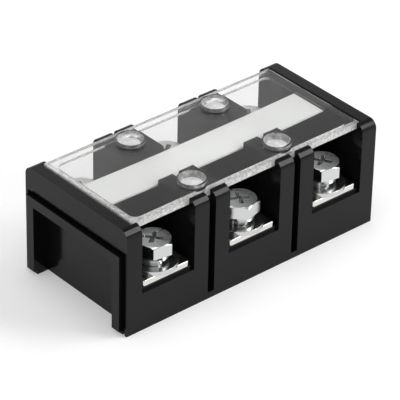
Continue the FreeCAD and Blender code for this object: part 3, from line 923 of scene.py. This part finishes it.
@dataclass(frozen=True)
class Viewpoint:
    """Camera measured from the photograph.

    Attributes:
        azimuth: Angle from the front towards the joining pad's end, in degrees.
        elevation: Angle above the floor, in degrees.
        roll: Turn about the line of sight, in degrees.
        target: Point in the middle of the image.
        distance: From that point to the camera.
        focal_px: Focal length in pixels of the 400 pixel image.
    """

    azimuth: float = 41.446
    elevation: float = 32.852
    roll: float = 1.293
    target: Color = (-0.00022, 0.0, 0.01503)
    distance: float = 0.7762
    focal_px: float = 2763.8

    def build(self) -> None:
        """Make the camera and use it."""
        turn, rise, roll = (math.radians(v) for v in (self.azimuth, self.elevation, self.roll))
        back = Vector((-math.sin(turn) * math.cos(rise), -math.cos(turn) * math.cos(rise), math.sin(rise)))
        level = (-back).cross(Vector((0.0, 0.0, 1.0))).normalized()
        above = level.cross(-back)
        right = level * math.cos(roll) + above * math.sin(roll)
        up = above * math.cos(roll) - level * math.sin(roll)
        camera = bpy.data.cameras.new("viewpoint")
        camera.sensor_width = SENSOR_WIDTH_MM
        camera.lens = self.focal_px * SENSOR_WIDTH_MM / IMAGE_WIDTH_PX
        camera.clip_start = 0.01
        camera.clip_end = 20.0
        holder = bpy.data.objects.new("viewpoint", camera)
        place = Vector(self.target) + back * self.distance
        axes = Matrix((right, up, back)).transposed().to_4x4()
        holder.matrix_world = Matrix.Translation(place) @ axes
        bpy.context.scene.collection.objects.link(holder)
        bpy.context.scene.camera = holder


@dataclass
class Studio:
    """Pale floor, white surround and soft lamps.

    Attributes:
        floor_half: Half the side of the floor.
        floor_color: Colour of the floor.
        floor_lift: Light added to the floor for the camera, mirrors and glass.
        horizon: Brightness of the surround at the horizon.
        middle: Brightness of the surround between the horizon and overhead.
        zenith: Brightness of the surround overhead.
        white_up_to: Height of direction up to which mirrors and glass see plain white.
    """

    floor_half: float = 3.0
    floor_color: float = 0.8
    floor_lift: float = 0.27
    horizon: float = 1.0
    middle: float = 0.08
    zenith: float = 0.4
    white_up_to: float = 0.25

    def build(self) -> None:
        """Make the floor, the surround, the lamps and the camera."""
        self._floor()
        self._surround()
        middle = Vector((0.0, 0.0, 0.015))
        for box in (
            Softbox("key_softbox", (0.41, -0.41, 0.49), (0.0, 0.76, 0.65), 0.18, 0.66, 8.5),
            Softbox("left_softbox", (-0.77, 0.13, 0.48), (0.0, 0.0, 1.0), 0.4, 0.4, 2.0),
            Softbox("top_softbox", (-0.045, 0.09, 0.9), (0.0, 1.0, 0.0), 0.5, 0.5, 1.6),
            Softbox("rear_card", (0.0, 0.2244, 0.1884), (1.0, 0.0, 0.0), 0.06, 0.9, 0.36, mirrored_only=True),
        ):
            box.build(middle)
        Viewpoint().build()
        bpy.context.scene.view_settings.view_transform = "Standard"

    def _floor(self) -> None:
        """Pale floor that keeps the strip's shadow."""
        mesh = bmesh.new()
        bmesh.ops.create_grid(mesh, x_segments=1, y_segments=1, size=self.floor_half)
        data = bpy.data.meshes.new("floor")
        mesh.to_mesh(data)
        mesh.free()
        floor = bpy.data.objects.new("floor", data)
        bpy.context.scene.collection.objects.link(floor)
        material = bpy.data.materials.new("pale_floor")
        material.use_nodes = True
        nodes = Nodes(material.node_tree)
        shader = nodes.add("ShaderNodeBsdfPrincipled")
        shader.inputs["Base Color"].default_value = (*(self.floor_color,) * 3, 1.0)
        shader.inputs["Roughness"].default_value = 0.9
        shader.inputs["Specular IOR Level"].default_value = 0.1
        shader.inputs["Emission Color"].default_value = (1.0, 1.0, 1.0, 1.0)
        rays = nodes.add("ShaderNodeLightPath")
        seen = nodes.math("MAXIMUM", rays.outputs["Is Camera Ray"], rays.outputs["Is Glossy Ray"])
        seen = nodes.math("MAXIMUM", seen, rays.outputs["Is Transmission Ray"])
        lift = nodes.math("MULTIPLY", seen, self.floor_lift)
        nodes.join(lift, shader.inputs["Emission Strength"])
        out = nodes.add("ShaderNodeOutputMaterial")
        nodes.join(shader.outputs["BSDF"], out.inputs["Surface"])
        data.materials.append(material)

    def _surround(self) -> None:
        """White surround: plain white where it is seen, and a soft dome for light and mirrors."""
        world = bpy.data.worlds.new("surround")
        bpy.context.scene.world = world
        world.use_nodes = True
        nodes = Nodes(world.node_tree)
        place = nodes.add("ShaderNodeTexCoord")
        parts = nodes.add("ShaderNodeSeparateXYZ")
        nodes.join(place.outputs["Generated"], parts.inputs[0])
        dome = nodes.add("ShaderNodeValToRGB")
        dome.color_ramp.interpolation = "EASE"
        stops = ((0.02, self.horizon), (0.4, self.middle), (0.9, self.zenith))
        marks = (*dome.color_ramp.elements, dome.color_ramp.elements.new(0.5))
        for stop, (place_up, glow) in zip(marks, stops):
            stop.position = place_up
            stop.color = (glow, glow, glow, 1.0)
        nodes.join(parts.outputs["Z"], dome.inputs["Fac"])
        rays = nodes.add("ShaderNodeLightPath")
        mirrored = nodes.math("MAXIMUM", rays.outputs["Is Glossy Ray"], rays.outputs["Is Transmission Ray"])
        low = nodes.math("LESS_THAN", parts.outputs["Z"], self.white_up_to)
        mirrored = nodes.math("MULTIPLY", mirrored, low)
        seen = nodes.math("MAXIMUM", rays.outputs["Is Camera Ray"], mirrored)
        glow = nodes.add("ShaderNodeMix", data_type="FLOAT")
        nodes.join(seen, glow.inputs["Factor"])
        nodes.join(dome.outputs["Color"], glow.inputs["A"])
        glow.inputs["B"].default_value = 1.0
        background = nodes.add("ShaderNodeBackground")
        nodes.join(glow.outputs["Result"], background.inputs["Strength"])
        out = nodes.add("ShaderNodeOutputWorld")
        nodes.join(background.outputs["Background"], out.inputs["Surface"])


def main() -> None:
    """Dress the strip and set up the studio."""
    logging.basicConfig(level=logging.INFO, format="%(name)s: %(message)s")
    effects = SurfaceEffects()
    Base().build(BASE_BLACK.build(effects), STRIP_WHITE.build(effects))
    Cover().build({kind: COVER_FINISHES[kind].build(effects) for kind in CoverFace})
    bar_finish = BAR_PLATE.build(effects)
    for pole in POLES:
        CurrentBar(pole).build(bar_finish)
    plates = [item.build(effects)
              for item in (SCREW_PLATE, HEAD_TOP_PAINTED_SHEEN, SPRING_PLATE, WASHER_PLATE, NUT_PLATE)]
    for row in Row:
        for pole in POLES:
            ScrewSet(row, pole).build(*plates)
    Studio().build()


if __name__ == "__main__":
    main()
